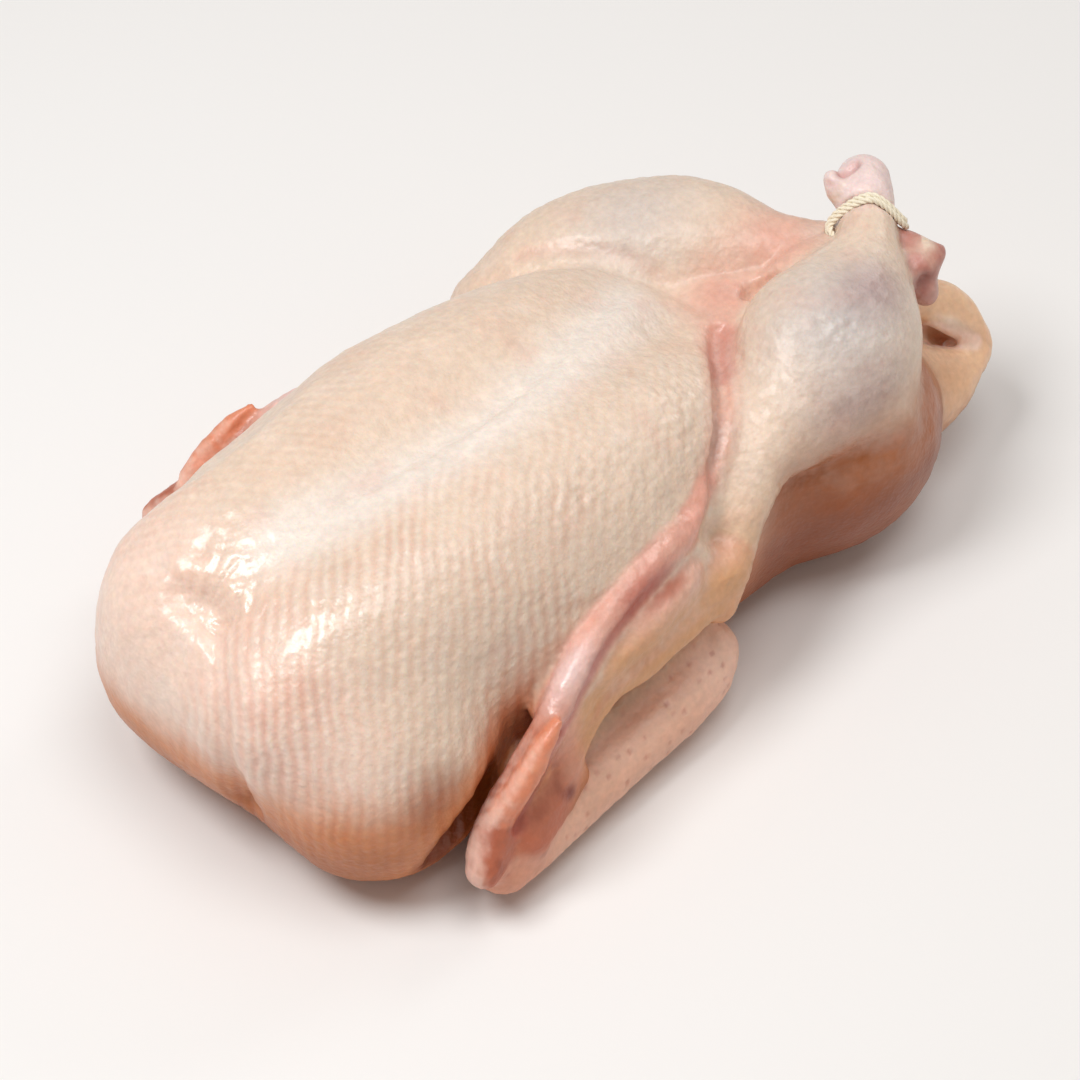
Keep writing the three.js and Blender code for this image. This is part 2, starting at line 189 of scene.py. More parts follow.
LEFT_KNOB_SIDE = [[150, -18.5, 90, 6.8], [152, -23, 81, 4.5]]
TAIL_LOBE = [[133, -19, 37, 24], [155, -29, 38, 14], [173, -32, 42, 5.3]]
TAIL_FLAP = [[150, -6, 64, 9], [170, -12, 57, 7.7], [177, -19, 51, 6.7], [179, -31, 41, 3]]
TAIL_HOLLOW = [[161, -21, 53, 4], [167, -25, 51, 3.3], [173, -30, 48, 2]]

HAND_LEAD = [
    [-89, -79, 25, 6.3], [-84, -76, 30, 7], [-75, -72, 39, 6], [-59, -69, 52, 5.6], [-41, -63, 65, 5],
    [-24, -57, 72, 5.4], [5, -51, 80, 5.1], [19, -49, 81, 4.8], [35, -42, 87, 2],
]
HAND_TRAIL = [
    [-69, -80, 22, 5], [-56, -74, 29, 4], [-46, -69, 36, 4], [-38, -66, 41, 4],
    [-25, -64, 48, 4], [-11, -65, 50, 4], [14, -63, 53, 4], [30, -58, 53, 4],
]
HAND_HEEL = [
    [-71, -76, 26, 8], [-51, -70, 35, 6], [-29, -61, 47, 5.5], [-4, -58, 53, 8], [18, -54, 56, 10],
    [31, -56, 60, 8.5],
]
HAND_PALM = [[-50, -68, 45, 6], [-30, -62, 58, 5], [-8, -60, 64, 6.5], [12, -56, 68, 6.5]]
THUMB = [
    [-78, -75, 41, 4.2], [-71, -75, 48, 4.2], [-64, -74, 54, 3.8], [-58, -73, 60, 3], [-52, -72, 64, 1.6],
]
FOREARM = [
    [-79, -76, 16, 10], [-62, -74, 14, 9.5], [-34, -69, 14, 10],
    [-7, -65, 15, 11], [16, -60, 17, 12.5], [24, -56, 20, 12],
]
LEFT_WING_MIRROR = 12.5
LEFT_WING_BACK = 6
LEFT_WING_DIP = 0.1
WRIST_X = -65

LEG_FOLD = [[80, 3, 90], [68, -10, 93], [58, -22, 95], [50, -31, 93.5], [43, -37, 90], [35, -44, 87]]
LEG_POCKET = [[80, 0, 90], [74, -5, 90], [66, -14, 91]]
BREAST_REAR_FOLD = [[53, 74, 88], [63, 64, 93], [76, 48, 94], [83, 34, 89], [83, 14, 91]]
NECK_CLEFT = [[-126, 6, 94], [-139, -10, 87], [-144, -18, 68], [-141, -18, 48], [-135, -16, 32]]
VENT_PIT = [103, 7, 92]
NECK_DIMPLE = [-125, 15, 97]
FLANK_HOLLOW = [
    [-59, -66, 55, 2.5], [-66, -67, 48, 5.5], [-72, -68, 43, 7.5], [-80, -69, 37, 8.5], [-89, -70, 29, 9.5],
    [-97, -71, 17, 9.5],
]

KEEL = [
    [80, 32, 86], [41, 18, 104], [7, 8, 109], [-17, 4, 111], [-37, 4, 111], [-60, 6, 110],
    [-80, 10, 107], [-94, 12, 104],
]
CALF_FOLD = [[60, -52, 76], [72, -56, 78], [84, -57, 76], [97, -57, 72]]
RIGHT_CALF = [104, -32, 107]
LEFT_CALF = [88, 56, 98]
RIGHT_CALF_LOW = [92, -50, 90]
CALF_SHOULDER = [118, -28, 106]
RIGHT_KNOB_FOLD = [[144, 16, 109], [148, 15.5, 111], [152, 15, 113]]
LEFT_KNOB_HOLE = [149, -26, 89]
WING_GROOVE = [[-8, -59, 76], [-18, -61, 73], [-28, -63, 70], [-38, -66, 65], [-46, -69, 59], [-52, -73, 57]]
THUMB_GROOVE = [[-52, -73, 57], [-58, -76, 55], [-64, -77, 47], [-70, -78, 39], [-76, -79, 35]]
WEB_FOLD = [[-20, -63, 66], [-8, -62, 68], [4, -60, 71], [14, -57, 74]]
LOWER_WEB_FOLD = [[-34, -67, 52], [-20, -68, 58], [-8, -68, 60], [6, -66, 62]]
WING_BRUISE = [-4, -59, 77]
WRIST_SPOT = [-53, -78, 32.5]
TIP_BRUISE = [2, -60, 76]
KNUCKLE = [-42, -63, 70]
ELBOW = [20, -62, 30]
SHADED_FLANK = [-97, -66, 54]
BREAST_FRONT = [-108, 2, 96]
HAM_TINGE = [100, -56, 66]
BELLY = [92, 14, 92]
LEG_WEB = [120, 16, 95]
HAND_ROOT = [-48, -59, 58]  # where the hand's web meets the trunk
HAND_ROOT_SIZE = 14

ROW_SPACING = 5.2  # mm between two rows of follicles
BEAD_SPACING = 3.5  # mm between two follicles of a row
SLACK_FOLD = np.array([9.0, 26.0, 26.0]) / 2.4  # folds lie across the duck, so they are short along it
WET_SPOTS = [  # a place, and how far the shine reaches from it
    ([-108, 22, 100], 30), ([-118, 4, 92], 26), ([-100, -22, 96], 34), ([99, -37, 105], 15),
    ([40, -30, 98], 24), ([-10, -69, 25], 26), ([-50, -68, 64], 14), ([12, -50, 86], 14),
]

SHANK_CROSSING = np.array([146, 1, 95.5])
TURN_PATH = [
    [SHANK_CROSSING[0] + dx, SHANK_CROSSING[1] + dy, height]
    for dx, dy, height in (
        (0, 0, 111.6), (9.4, -8.2, 100), (12.6, -0.5, 95), (8.5, 7.5, 88),
        (0, 0, 79.5), (-8.5, -7.5, 88), (-12.6, 0.5, 95), (-9.4, 8.2, 100),
    )
]
TWINE_RADIUS = 1.2
TWINE_PITCH = 2.1  # mm between the two turns
TWINE_REACH = 32  # no skin further than this from the middle of a turn can touch it
TWINE_GAP = 0.15
TWINE_RINGS = 260
PLIES = 3
PLY_PITCH = 7.5  # mm of twine for one turn of a ply
PLY_RADIUS = 0.62
PLY_OFFSET = 0.58
PLY_SIDES = 8
SECOND_TURN_SHIFT = 0.3  # of a twist, so that the two turns don't look the same

KEEL_Y = 11
TRUNK_AXIS_Z = 45
TRUNK_RADIUS = 62  # about the breast's, seen along the duck
ROW_LEAN = 0.84  # a row of follicles runs this far towards the neck for each mm out from the keel


def as_left_wing(places):
    """The places as the right wing sees them, so that both wings are worked on by the same code."""
    x, y, z = places.T
    return np.stack([x - LEFT_WING_BACK, 2 * LEFT_WING_MIRROR - y, z + LEFT_WING_DIP * (x - WRIST_X)], 1)


# ---- The fine skin mesh -------------------------------------------------------------------------


def unit(vectors):
    """The vectors at length 1."""
    return vectors / np.maximum(np.linalg.norm(vectors, axis=1, keepdims=True), 1e-12)


def summed_at(corners, vectors, count):
    """For each of `count` vertices, the sum of the vectors of the faces that it is a corner of."""
    total = np.zeros((count, 3))
    for corner in corners.T:
        for axis in range(3):
            total[:, axis] += np.bincount(corner, vectors[:, axis], count)
    return total


def corner_normals(points, triangles):
    """Each vertex's normal, from the triangles round it by their area."""
    a, b, c = points[triangles].transpose(1, 0, 2)
    return unit(summed_at(triangles, np.cross(b - a, c - a), len(points)))


def split_round(points, triangles):
    """Cuts each triangle into four, with the new vertices on the curve that the corners' normals ask for."""
    normals = corner_normals(points, triangles)
    sides = np.concatenate([triangles[:, [0, 1]], triangles[:, [1, 2]], triangles[:, [2, 0]]])
    edges, which = np.unique(np.sort(sides, axis=1), axis=0, return_inverse=True)
    middle = points[edges].mean(1)
    bulge = np.zeros_like(middle)
    for end in (0, 1):
        normal = normals[edges[:, end]]
        height = ((middle - points[edges[:, end]]) * normal).sum(1, keepdims=True)
        bulge -= height * normal / 2
    new = which.reshape(3, -1) + len(points)
    a, b, c = triangles.T
    ab, bc, ca = new
    fourfold = np.concatenate(
        [np.stack(t, 1) for t in ((a, ab, ca), (ab, b, bc), (ca, bc, c), (ab, bc, ca))]
    )
    return np.concatenate([points, middle + ROUNDING * bulge]), fourfold


def mesh_from(name, points, faces):
    """A mesh from points in metres."""
    mesh = bpy.data.meshes.new(name)
    mesh.from_pydata(points.tolist(), [], faces.tolist())
    mesh.update()
    return mesh


def object_from(name, mesh):
    made = bpy.data.objects.new(name, mesh)
    bpy.context.scene.collection.objects.link(made)
    return made


def corners_of(mesh):
    """The mesh's vertices, in metres."""
    places = np.zeros(len(mesh.vertices) * 3, np.float32)
    mesh.vertices.foreach_get("co", places)
    return places.reshape(-1, 3).astype(float)


def welded(points, triangles):
    """The same surface with one vertex at each place."""
    _, first, index = np.unique(np.round(points, 6), axis=0, return_index=True, return_inverse=True)
    return points[first], index.reshape(-1)[triangles]


def fine_skin():
    """The CAD duck as one even, smooth, finely divided mesh."""
    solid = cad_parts["duck"].data
    solid.calc_loop_triangles()
    triangles = np.array([t.vertices[:] for t in solid.loop_triangles])
    points, triangles = welded(corners_of(solid), triangles)
    for _ in range(2):
        points, triangles = split_round(points, triangles)
    rough = object_from("rounded", mesh_from("rounded", points, triangles))
    even = rough.modifiers.new("even", "REMESH")
    even.mode = "VOXEL"
    even.voxel_size = SKIN_STEP * MM
    even.use_smooth_shade = True
    mesh = bpy.data.meshes.new_from_object(rough.evaluated_get(bpy.context.evaluated_depsgraph_get()))
    bpy.data.objects.remove(rough)
    mesh.name = "duck_skin"
    return mesh


class Skin:
    """The skin's vertices, with what smoothing and relief need to know of them."""

    def __init__(self, mesh):
        self.mesh = mesh
        self.places = corners_of(mesh) / MM + MIDDLE
        edges = np.zeros(len(mesh.edges) * 2, np.int32)
        mesh.edges.foreach_get("vertices", edges)
        self.edges = edges.reshape(-1, 2)
        self.neighbours = np.bincount(self.edges.ravel(), minlength=len(self.places))
        corners = np.zeros(len(mesh.loops), np.int32)
        mesh.loops.foreach_get("vertex_index", corners)
        starts = np.zeros(len(mesh.polygons), np.int32)
        mesh.polygons.foreach_get("loop_start", starts)
        self.quads = corners[starts[:, None] + np.arange(4)]
        self.find_normals()

    def find_normals(self):
        a, b, c, d = self.places[self.quads].transpose(1, 0, 2)
        self.normals = unit(summed_at(self.quads, np.cross(c - a, d - b), len(self.places)))

    def average(self, values):
        """Each vertex's mean of its neighbours' values."""
        values = values.reshape(len(self.places), -1)
        total = np.zeros_like(values)
        for axis in range(values.shape[1]):
            for here, there in (self.edges.T, self.edges.T[::-1]):
                total[:, axis] += np.bincount(here, values[there, axis], len(self.places))
        return (total / self.neighbours[:, None]).squeeze()

    def smooth(self, times, share=0.6, where=None):
        """Relaxes the surface without shrinking it: each step in is followed by one back out."""
        weight = 1.0 if where is None else where[:, None]
        for _ in range(times):
            for step in (share, -share * STEP_BACK):
                self.places = self.places + step * weight * (self.average(self.places) - self.places)
        self.find_normals()

    def raise_by(self, height):
        """Moves each vertex out along its normal by height, in mm."""
        self.places = self.places + height[:, None] * self.normals
        self.find_normals()

    def press_line(self, line, width, depth, seen=None):
        """Presses a groove along a line; `seen` is given where the line is one of the other wing's."""
        away, _ = near_line(self.places if seen is None else seen, curve(line), width * 1.5)
        self.raise_by(-depth * smooth_step(width, 0, away))

    def write(self):
        self.mesh.vertices.foreach_set("co", ((self.places - MIDDLE) * MM).astype(np.float32).ravel())
        self.mesh.update()


class Regions:
    """How much each vertex belongs to each part of the duck, from 0 to 1."""

    def __init__(self, places):
        self.right_leg = self.inside(places, 5, RIGHT_LEG, RIGHT_INNER_CALF)
        self.left_leg = self.inside(places, 4, LEFT_LEG)
        self.right_knob = self.inside(places, 2.5, RIGHT_KNOB, RIGHT_KNOB_SIDE)
        self.left_knob = self.inside(places, 2.5, LEFT_KNOB, LEFT_KNOB_SIDE)
        self.tail = self.inside(places, 6, TAIL_LOBE, TAIL_FLAP)
        wings = [self.wing_parts(places), self.wing_parts(as_left_wing(places))]
        self.hand, self.forearm, self.thumb = np.maximum(*wings)
        self.wing = np.maximum.reduce([self.hand, self.forearm, self.thumb])
        self.trunk = 1 - np.maximum.reduce([self.right_leg, self.left_leg, self.wing, self.tail])

    @staticmethod
    def inside(places, soft, *limbs):
        return np.maximum.reduce([smooth_step(soft, 0, limb_gap(places, limb)[0]) for limb in limbs])

    def wing_parts(self, places):
        return np.array([
            self.inside(places, 4, HAND_LEAD, HAND_TRAIL, HAND_HEEL, HAND_PALM),
            self.inside(places, 4, FOREARM),
            self.inside(places, 1.5, THUMB),
        ])


# ---- Relief -------------------------------------------------------------------------------------


def shape_keel(skin):
    """The breastbone's edge, and the hollow of the flesh along its left side."""
    x, y, _ = skin.places.T
    line = curve(KEEL)
    order = np.argsort(line[:, 0])
    aside = y - np.interp(x, line[order, 0], line[order, 1])
    top = smooth_step(0.2, 0.7, skin.normals[:, 2])
    length = smooth_step(82, 50, x) * smooth_step(-100, -25, x)
    hollow = smooth_step(-2, 7, aside) * smooth_step(34, 8, aside)
    edge = smooth_step(-16, -4, aside) * smooth_step(3, -1, aside)
    skin.raise_by(top * length * (0.7 * edge - 3.2 * hollow))


def shape_folds(skin):
    """The creases between breast, legs, belly, tail and neck end."""
    skin.press_line(BREAST_REAR_FOLD, 5, 0.8)
    skin.press_line(LEG_FOLD, 4, 1.4)
    skin.press_line(NECK_CLEFT, 6, 1.6)
    skin.press_line(CALF_FOLD, 4, 0.8)
    skin.raise_by(-1.5 * ball(skin.places, VENT_PIT, 7))
    skin.raise_by(-1.0 * ball(skin.places, NECK_DIMPLE, 13))


def shape_wing(skin, seen):
    """The hand's tendon, the groove beside the thumb and the folds of its web, on one wing."""
    for line, width, depth in (
        (WING_GROOVE, 4, 1.0),
        (THUMB_GROOVE, 3, 1.2),
        (WEB_FOLD, 4, 0.6),
        (LOWER_WEB_FOLD, 4, 0.6),
        ([WRIST_SPOT, WRIST_SPOT], 3, 0.8),
    ):
        skin.press_line(line, width, depth, seen)


def shape_knobs(skin):
    """The folds and pits of the cut joints."""
    skin.press_line(RIGHT_KNOB_FOLD, 3, 1.6)
    skin.raise_by(-1.0 * ball(skin.places, LEFT_KNOB_HOLE, 5))


def wrinkle_dimple(skin):
    """Skin drawn together round the dimple at the neck end, in small crooked folds that point at it."""
    places = skin.places
    gap = places - np.array(NECK_DIMPLE)
    reach = np.linalg.norm(gap, axis=1)
    bearing = np.arctan2(gap[:, 1], gap[:, 0]) + 0.25 * noise(places, 12, 33)
    turned = np.stack([bearing * 7, reach / 9, reach * 0], 1)
    ring = smooth_step(2, 8, reach) * smooth_step(40, 12, reach)
    skin.raise_by(ring * (0.5 * noise(turned, 1.0, 31) + 0.35 * noise(places, 5.0, 35)))


def breast_rows(places):
    """The skin's two directions on the breast, in mm: across the feather rows, and down along them."""
    x, y, z = places.T
    out = np.abs(y - KEEL_Y)
    return x + ROW_LEAN * out, TRUNK_RADIUS * np.arctan2(out, z - TRUNK_AXIS_Z)


def add_follicles(skin, regions):
    """Gives the plucked skin its bumps: in rows on the breast, loose elsewhere.

    Gives back how much each vertex is on a bump, between two rows, and in a pit.
    """
    places = skin.places
    x, y, z = places.T
    across, along = breast_rows(places)
    near_keel = smooth_step(4, 24, along)
    warp = 1.7 * noise(places, 24, 5) + 1.3 * noise(places, 8, 6)
    column = (across + warp) / ROW_SPACING
    number = np.floor(column).astype(np.int64)
    stagger = 0.5 * (number % 2) + 0.2 * scatter(np.stack([number, number, number], 1), 9)
    ridge = 0.5 - 0.5 * np.cos(2 * math.pi * column)
    bead = 0.5 - 0.5 * np.cos(2 * math.pi * ((along + 1.2 * noise(places, 7, 8)) / BEAD_SPACING + stagger))
    loose = smooth_step(0.2, 0.8, pebbles(places, 3.2, 12))
    front = smooth_step(15, -55, x)
    breast = regions.trunk * smooth_step(90, 70, x) * smooth_step(4, 26, z)
    breast = breast * np.maximum(smooth_step(45, 10, x), smooth_step(50, 75, z))
    side = np.where(y < KEEL_Y, 1.0, 0.35)
    strength = np.clip(0.75 + 0.9 * noise(places, 17, 14), 0.1, 1.4)
    rows = ridge * (0.5 + 0.5 * bead)
    height = front * (0.34 * rows + 0.2 * loose) + (1 - front) * (0.08 * rows + 0.42 * loose)
    height = height * breast * near_keel * side * strength
    height += 0.14 * breast * (1 - near_keel) * loose
    legs = np.maximum(regions.right_leg, regions.left_leg)
    for region, size, seed in ((legs, 3.8, 21), (regions.wing, 3.4, 27), (regions.tail, 3.8, 29)):
        height += 0.2 * region * smooth_step(0.3, 0.8, pebbles(places, size, seed))
    pits = smooth_step(0.72, 0.9, pebbles(places, 5.0, 23))
    height -= 0.35 * pits * np.maximum(regions.forearm, 0.5 * legs)
    skin.raise_by(height)
    tops = np.clip(rows * breast * near_keel * side + loose * 0.3, 0, 1)
    valleys = (1 - ridge) * breast * near_keel * side * (0.1 + 0.9 * front) * strength
    return tops, valleys, pits


def add_unevenness(skin):
    """Soft dents and slack folds at several sizes, so that no surface is a perfect curve."""
    places = skin.places
    slack = noise(places, SLACK_FOLD, 47)
    height = 0.7 * cloud(places, 38, 41) + 0.35 * cloud(places, 14, 44) + 0.16 * slack
    skin.raise_by(height * smooth_step(0, 6, places[:, 2]))


def add_wet_wrinkles(skin):
    """Small crooked wrinkles along the rows, where the film of juice catches the light in short streaks."""
    places = skin.places
    across, along = breast_rows(places)
    turned = np.stack([across / 2.4, along / 4.5, places[:, 2] * 0], 1)
    front = ball(places, BREAST_FRONT, [44, 56, 46])
    calf = ball(places, RIGHT_CALF, [26, 20, 20])
    skin.raise_by(0.32 * front * noise(turned, 1.0, 81) + 0.34 * calf * noise(places, 2.2, 83))


def clear_twine(skin, turns):
    """Keeps the skin just off the twine that is tied into it."""
    for turn in turns:
        near = np.where(np.linalg.norm(skin.places - turn.mean(0), axis=1) < TWINE_REACH)[0]
        for _ in range(2):
            here = skin.places[near]
            gap = here[:, None] - turn[None]
            distance = np.linalg.norm(gap, axis=2)
            closest = distance.argmin(1)
            rows = np.arange(len(here))
            least = distance[rows, closest]
            push = np.clip(TWINE_RADIUS + TWINE_GAP - least, 0, None) / np.maximum(least, 0.05)
            skin.places[near] = here + gap[rows, closest] * push[:, None]
    skin.find_normals()


# ---- Tints --------------------------------------------------------------------------------------


def seen_as(red, green, blue):
    """Linear colour from the 0 to 255 numbers of a screen."""
    share = np.array([red, green, blue]) / 255
    return np.where(share < 0.04045, share / 12.92, ((share + 0.055) / 1.055) ** 2.4)


CREAM = seen_as(228, 204, 183)
PALE_FAT = seen_as(240, 230, 221)
PEACH = seen_as(252, 220, 204)
# the warm orange is both the skin's own warm tone and painted shade with warm bounce light; the two browns
# are painted shade
WARM_TONE_AND_SHADE = seen_as(214, 138, 88)
SHADE_BROWN = seen_as(170, 92, 36)
DEEP_SHADE_BROWN = seen_as(136, 64, 22)
FLESH_PINK = seen_as(222, 160, 142)
DEEP_PINK = seen_as(184, 94, 84)
ORANGE = seen_as(200, 104, 66)
BLOOD = seen_as(116, 34, 28)
CALF_GREY = seen_as(202, 193, 189)
CALF_VIOLET = seen_as(168, 140, 138)
YELLOW_TAN = seen_as(214, 160, 110)
KNOB_PALE = seen_as(238, 214, 212)
JOINT_RED = seen_as(182, 108, 98)
TAIL_TAN = seen_as(252, 208, 170)
FOREARM_PINK = seen_as(240, 194, 172)
THUMB_SALMON = seen_as(224, 136, 102)
WRIST_RED = seen_as(172, 84, 54)
ROW_VALLEY = np.array([0.05, 0.14, 0.16])  # how much red, green and blue the skin loses between two rows


class Paint:
    """The skin's colour at each vertex, laid on in glazes."""

    def __init__(self, count):
        self.color = np.ones((count, 3)) * CREAM

    def glaze(self, mask, color, strength=1.0):
        share = np.clip(mask * strength, 0, 1)[:, None]
        self.color = self.color * (1 - share) + color * share

    def spot(self, places, at, radius, color, strength, mask=1.0):
        """A soft spot; radius may be one for each axis."""
        self.glaze(mask * ball(places, at, radius), color, strength)

    def line(self, places, line, outer, inner, color, strength, mask=1.0):
        """A band along a line: whole within `inner` of it, and gone at `outer`."""
        away, _ = near_line(places, curve(line), 1.5 * outer)
        self.glaze(mask * smooth_step(outer, inner, away), color, strength)

    def shade(self, factor):
        self.color = self.color * factor.reshape(len(self.color), -1)


def paint_trunk(paint, skin, blotch):
    """Cream over the breast and paler along the keel, with painted shade and warm bounce light that turn it
    orange and then brown towards the underside and round the wings' hollows.
    """
    places = skin.places
    x, y, z = places.T
    up = skin.normals[:, 2]
    shade_share = 1 - 0.45 * smooth_step(30, 75, y)  # painted shade and warm bounce light are weaker on the left side than on the right one
    paint.line(places, KEEL, 20, 3, PALE_FAT, 0.75, smooth_step(84, 60, x))
    paint.glaze(smooth_step(-90, -130, x), PEACH, 0.7)
    # painted shade and painted warm bounce light: orange on the low skin that faces down, brown lower still
    low = smooth_step(70, 42, z + 7 * blotch) * smooth_step(0.9, 0.35, up)
    paint.glaze(low * shade_share, WARM_TONE_AND_SHADE, 1.0)
    lowest_shade = smooth_step(50, 20, z + 7 * blotch) * smooth_step(0.6, 0.1, up)
    paint.glaze(lowest_shade * shade_share, SHADE_BROWN, 0.9)
    # painted shade on the flank below the wing's leading edge
    paint.spot(places, SHADED_FLANK, [20, 16, 22], SHADE_BROWN, 0.85)
    paint.line(places, BREAST_REAR_FOLD, 5, 0, FLESH_PINK, 0.3)
    cleft_away, cleft_along = near_line(places, curve(NECK_CLEFT), 14)
    paint.glaze(smooth_step(9, 0, cleft_away) * smooth_step(15, 50, cleft_along), WARM_TONE_AND_SHADE, 0.6)
    paint.glaze(smooth_step(3, 0, cleft_away) * smooth_step(25, 55, cleft_along), DEEP_PINK, 0.5)
    # painted shade in the hollow between each wing and the flank: orange round it, brown nearer, and darkest
    # in its bottom
    for seen in (places, as_left_wing(places)):
        gap, _ = limb_gap(seen, FLANK_HOLLOW, 22)
        for outer, inner, color, strength in (
            (18, 2, WARM_TONE_AND_SHADE, 0.75), (6, 1, SHADE_BROWN, 0.8), (1.5, 0, DEEP_SHADE_BROWN, 0.95),
        ):
            paint.glaze(smooth_step(outer, inner, gap), color, strength)


def paint_legs(paint, skin, regions, blotch):
    """Grey-violet calves, painted shade in brown under the right calf and on the ham, and the reddened skin
    between the legs.
    """
    places = skin.places
    x, y, z = places.T
    legs = np.maximum(regions.right_leg, regions.left_leg)
    upward = smooth_step(-0.2, 0.4, skin.normals[:, 2])
    paint.spot(places, LEFT_CALF, [42, 34, 30], CALF_GREY, 0.6, upward)
    paint.spot(places, RIGHT_CALF, [46, 40, 34], CALF_GREY, 0.95, upward)
    paint.spot(places, CALF_SHOULDER, [22, 18, 16], CALF_VIOLET, 0.9)
    paint.spot(places, RIGHT_CALF_LOW, [34, 24, 20], CALF_VIOLET, 0.9, regions.right_leg)
    # painted shade under the right calf and on the ham, darkest low down
    shade = smooth_step(92, 64, z + 5 * blotch) * smooth_step(50, 66, x) * smooth_step(-22, -40, y)
    paint.glaze(shade, SHADE_BROWN, 0.95)
    deep_shade = smooth_step(66, 40, z + 6 * blotch) * smooth_step(40, 60, x) * smooth_step(-20, -40, y)
    paint.glaze(deep_shade, DEEP_SHADE_BROWN, 0.85)
    paint.spot(places, HAM_TINGE, [30, 20, 16], CALF_VIOLET, 0.15, smooth_step(-0.1, 0.4, blotch))
    strip = regions.right_leg * smooth_step(72, 56, x) * smooth_step(84, 66, z)
    paint.glaze(strip, YELLOW_TAN, 0.5)

    paint.spot(places, BELLY, [24, 26, 22], FLESH_PINK, 0.85, 1 - legs)
    paint.spot(places, LEG_WEB, [36, 30, 20], FLESH_PINK, 0.75, 1 - regions.right_leg)
    paint.spot(places, VENT_PIT, 7, BLOOD, 0.95)
    fold_away, fold_along = near_line(places, curve(LEG_FOLD), 20)
    paint.glaze(smooth_step(11, 1, fold_away), FLESH_PINK, 0.7)
    paint.glaze(smooth_step(3.4, 0.8, fold_away) * smooth_step(12, 26, fold_along), BLOOD, 0.8)
    paint.line(places, LEG_POCKET, 7, 2, DEEP_PINK, 0.45)


def paint_wing(paint, skin, regions, seen, spots):
    """Red at the wrist, salmon on the thumb, pink and bruised along the leading edge, and tan on the web."""
    x, _, z = seen.T
    hand, forearm, thumb = regions.wing_parts(seen)
    ahead = smooth_step(-0.35, -0.85, skin.normals[:, 0])  # 1 where the skin faces the neck end
    paint.glaze(hand, FLESH_PINK, 0.6)
    paint.glaze(hand * smooth_step(-48, -38, x) * smooth_step(72, 62, z), YELLOW_TAN, 0.85)
    wrist = hand * smooth_step(-46, -58, x)
    paint.glaze(wrist, WRIST_RED, 0.75)
    paint.glaze(wrist * smooth_step(36, 22, z), ORANGE, 0.5)
    paint.glaze(forearm, FOREARM_PINK, 0.8)
    paint.spot(seen, ELBOW, 26, PEACH, 0.5, forearm)
    paint.glaze(forearm * smooth_step(-56, -78, x), ORANGE, 0.45)
    lead_away, _ = near_line(seen, curve(HAND_LEAD), 14)
    lead = hand * smooth_step(8, 4.5, lead_away)
    paint.glaze(lead * smooth_step(-62, -50, x), FLESH_PINK, 0.9)
    paint.spot(seen, KNUCKLE, [26, 12, 14], KNOB_PALE, 0.75, lead)
    for line in (WING_GROOVE, THUMB_GROOVE):
        paint.line(seen, line, 5, 0.5, DEEP_PINK, 0.7, hand)
    under_lead = hand * smooth_step(-24, -12, x) * smooth_step(15, 8, x)
    paint.spot(seen, WING_BRUISE, [26, 9, 12], DEEP_PINK, 1.0, under_lead)
    paint.spot(seen, TIP_BRUISE, [12, 6, 7], WRIST_RED, 0.9, hand)
    paint.glaze(thumb, THUMB_SALMON, 0.9)
    edge = np.maximum(thumb, hand * smooth_step(-52, -62, x))
    paint.glaze(edge * ahead, PEACH, 0.6)
    paint.spot(seen, WRIST_SPOT, 4.5, BLOOD, 0.85)
    paint.glaze(hand * smooth_step(-40, -60, x) * spots, BLOOD, 0.3)


def paint_skin(skin, regions, tops, valleys, pits):
    """The colour of each of the skin's vertices."""
    places = skin.places
    paint = Paint(len(places))
    blotch = cloud(places, 30, 51)
    patch = cloud(places, 12, 55)
    spots = smooth_step(0.35, 0.8, cloud(places, 7, 57))

    paint_trunk(paint, skin, blotch)
    paint_legs(paint, skin, regions, blotch)
    for seen in (places, as_left_wing(places)):
        paint_wing(paint, skin, regions, seen, spots)

    paint.glaze(regions.right_knob, KNOB_PALE, 0.9)
    paint.glaze(regions.left_knob, JOINT_RED, 0.85)
    paint.spot(places, LEFT_KNOB_HOLE, 8, BLOOD, 0.6)
    paint.line(places, RIGHT_KNOB_FOLD, 3.5, 0.5, DEEP_PINK, 0.7)
    hollow_gap, _ = limb_gap(places, TAIL_HOLLOW, 12)
    paint.glaze(regions.tail * smooth_step(-0.6, 0.2, skin.normals[:, 2]), TAIL_TAN, 0.9)
    paint.glaze(smooth_step(2.5, 0.5, hollow_gap), PEACH, 0.8)

    upper = smooth_step(42, 74, places[:, 2])
    paint.glaze(upper * smooth_step(0.1, 0.9, patch), FLESH_PINK, 0.2)
    paint.glaze(upper * smooth_step(0.1, 0.9, -patch), PALE_FAT, 0.2)
    paint.glaze(smooth_step(0.2, 0.9, -blotch), WARM_TONE_AND_SHADE, 0.15)
    paint.glaze(pits * np.maximum(regions.forearm, 0.3 * regions.right_leg), DEEP_PINK, 0.4)
    paint.shade(1 + 0.05 * cloud(places, 4.5, 59))
    paint.shade(1 - valleys[:, None] * ROW_VALLEY)
    paint.glaze(upper * tops, PALE_FAT, 0.2)
    return paint.color


# ---- The duck -----------------------------------------------------------------------------------


def add_color(mesh, name, values):
    layer = mesh.color_attributes.new(name, "FLOAT_COLOR", "POINT")
    full = np.ones((len(values), 4), np.float32)
    full[:, :3] = values
    layer.data.foreach_set("color", full.ravel())


def add_number(mesh, name, values):
    mesh.attributes.new(name, "FLOAT", "POINT").data.foreach_set("value", values.astype(np.float32))


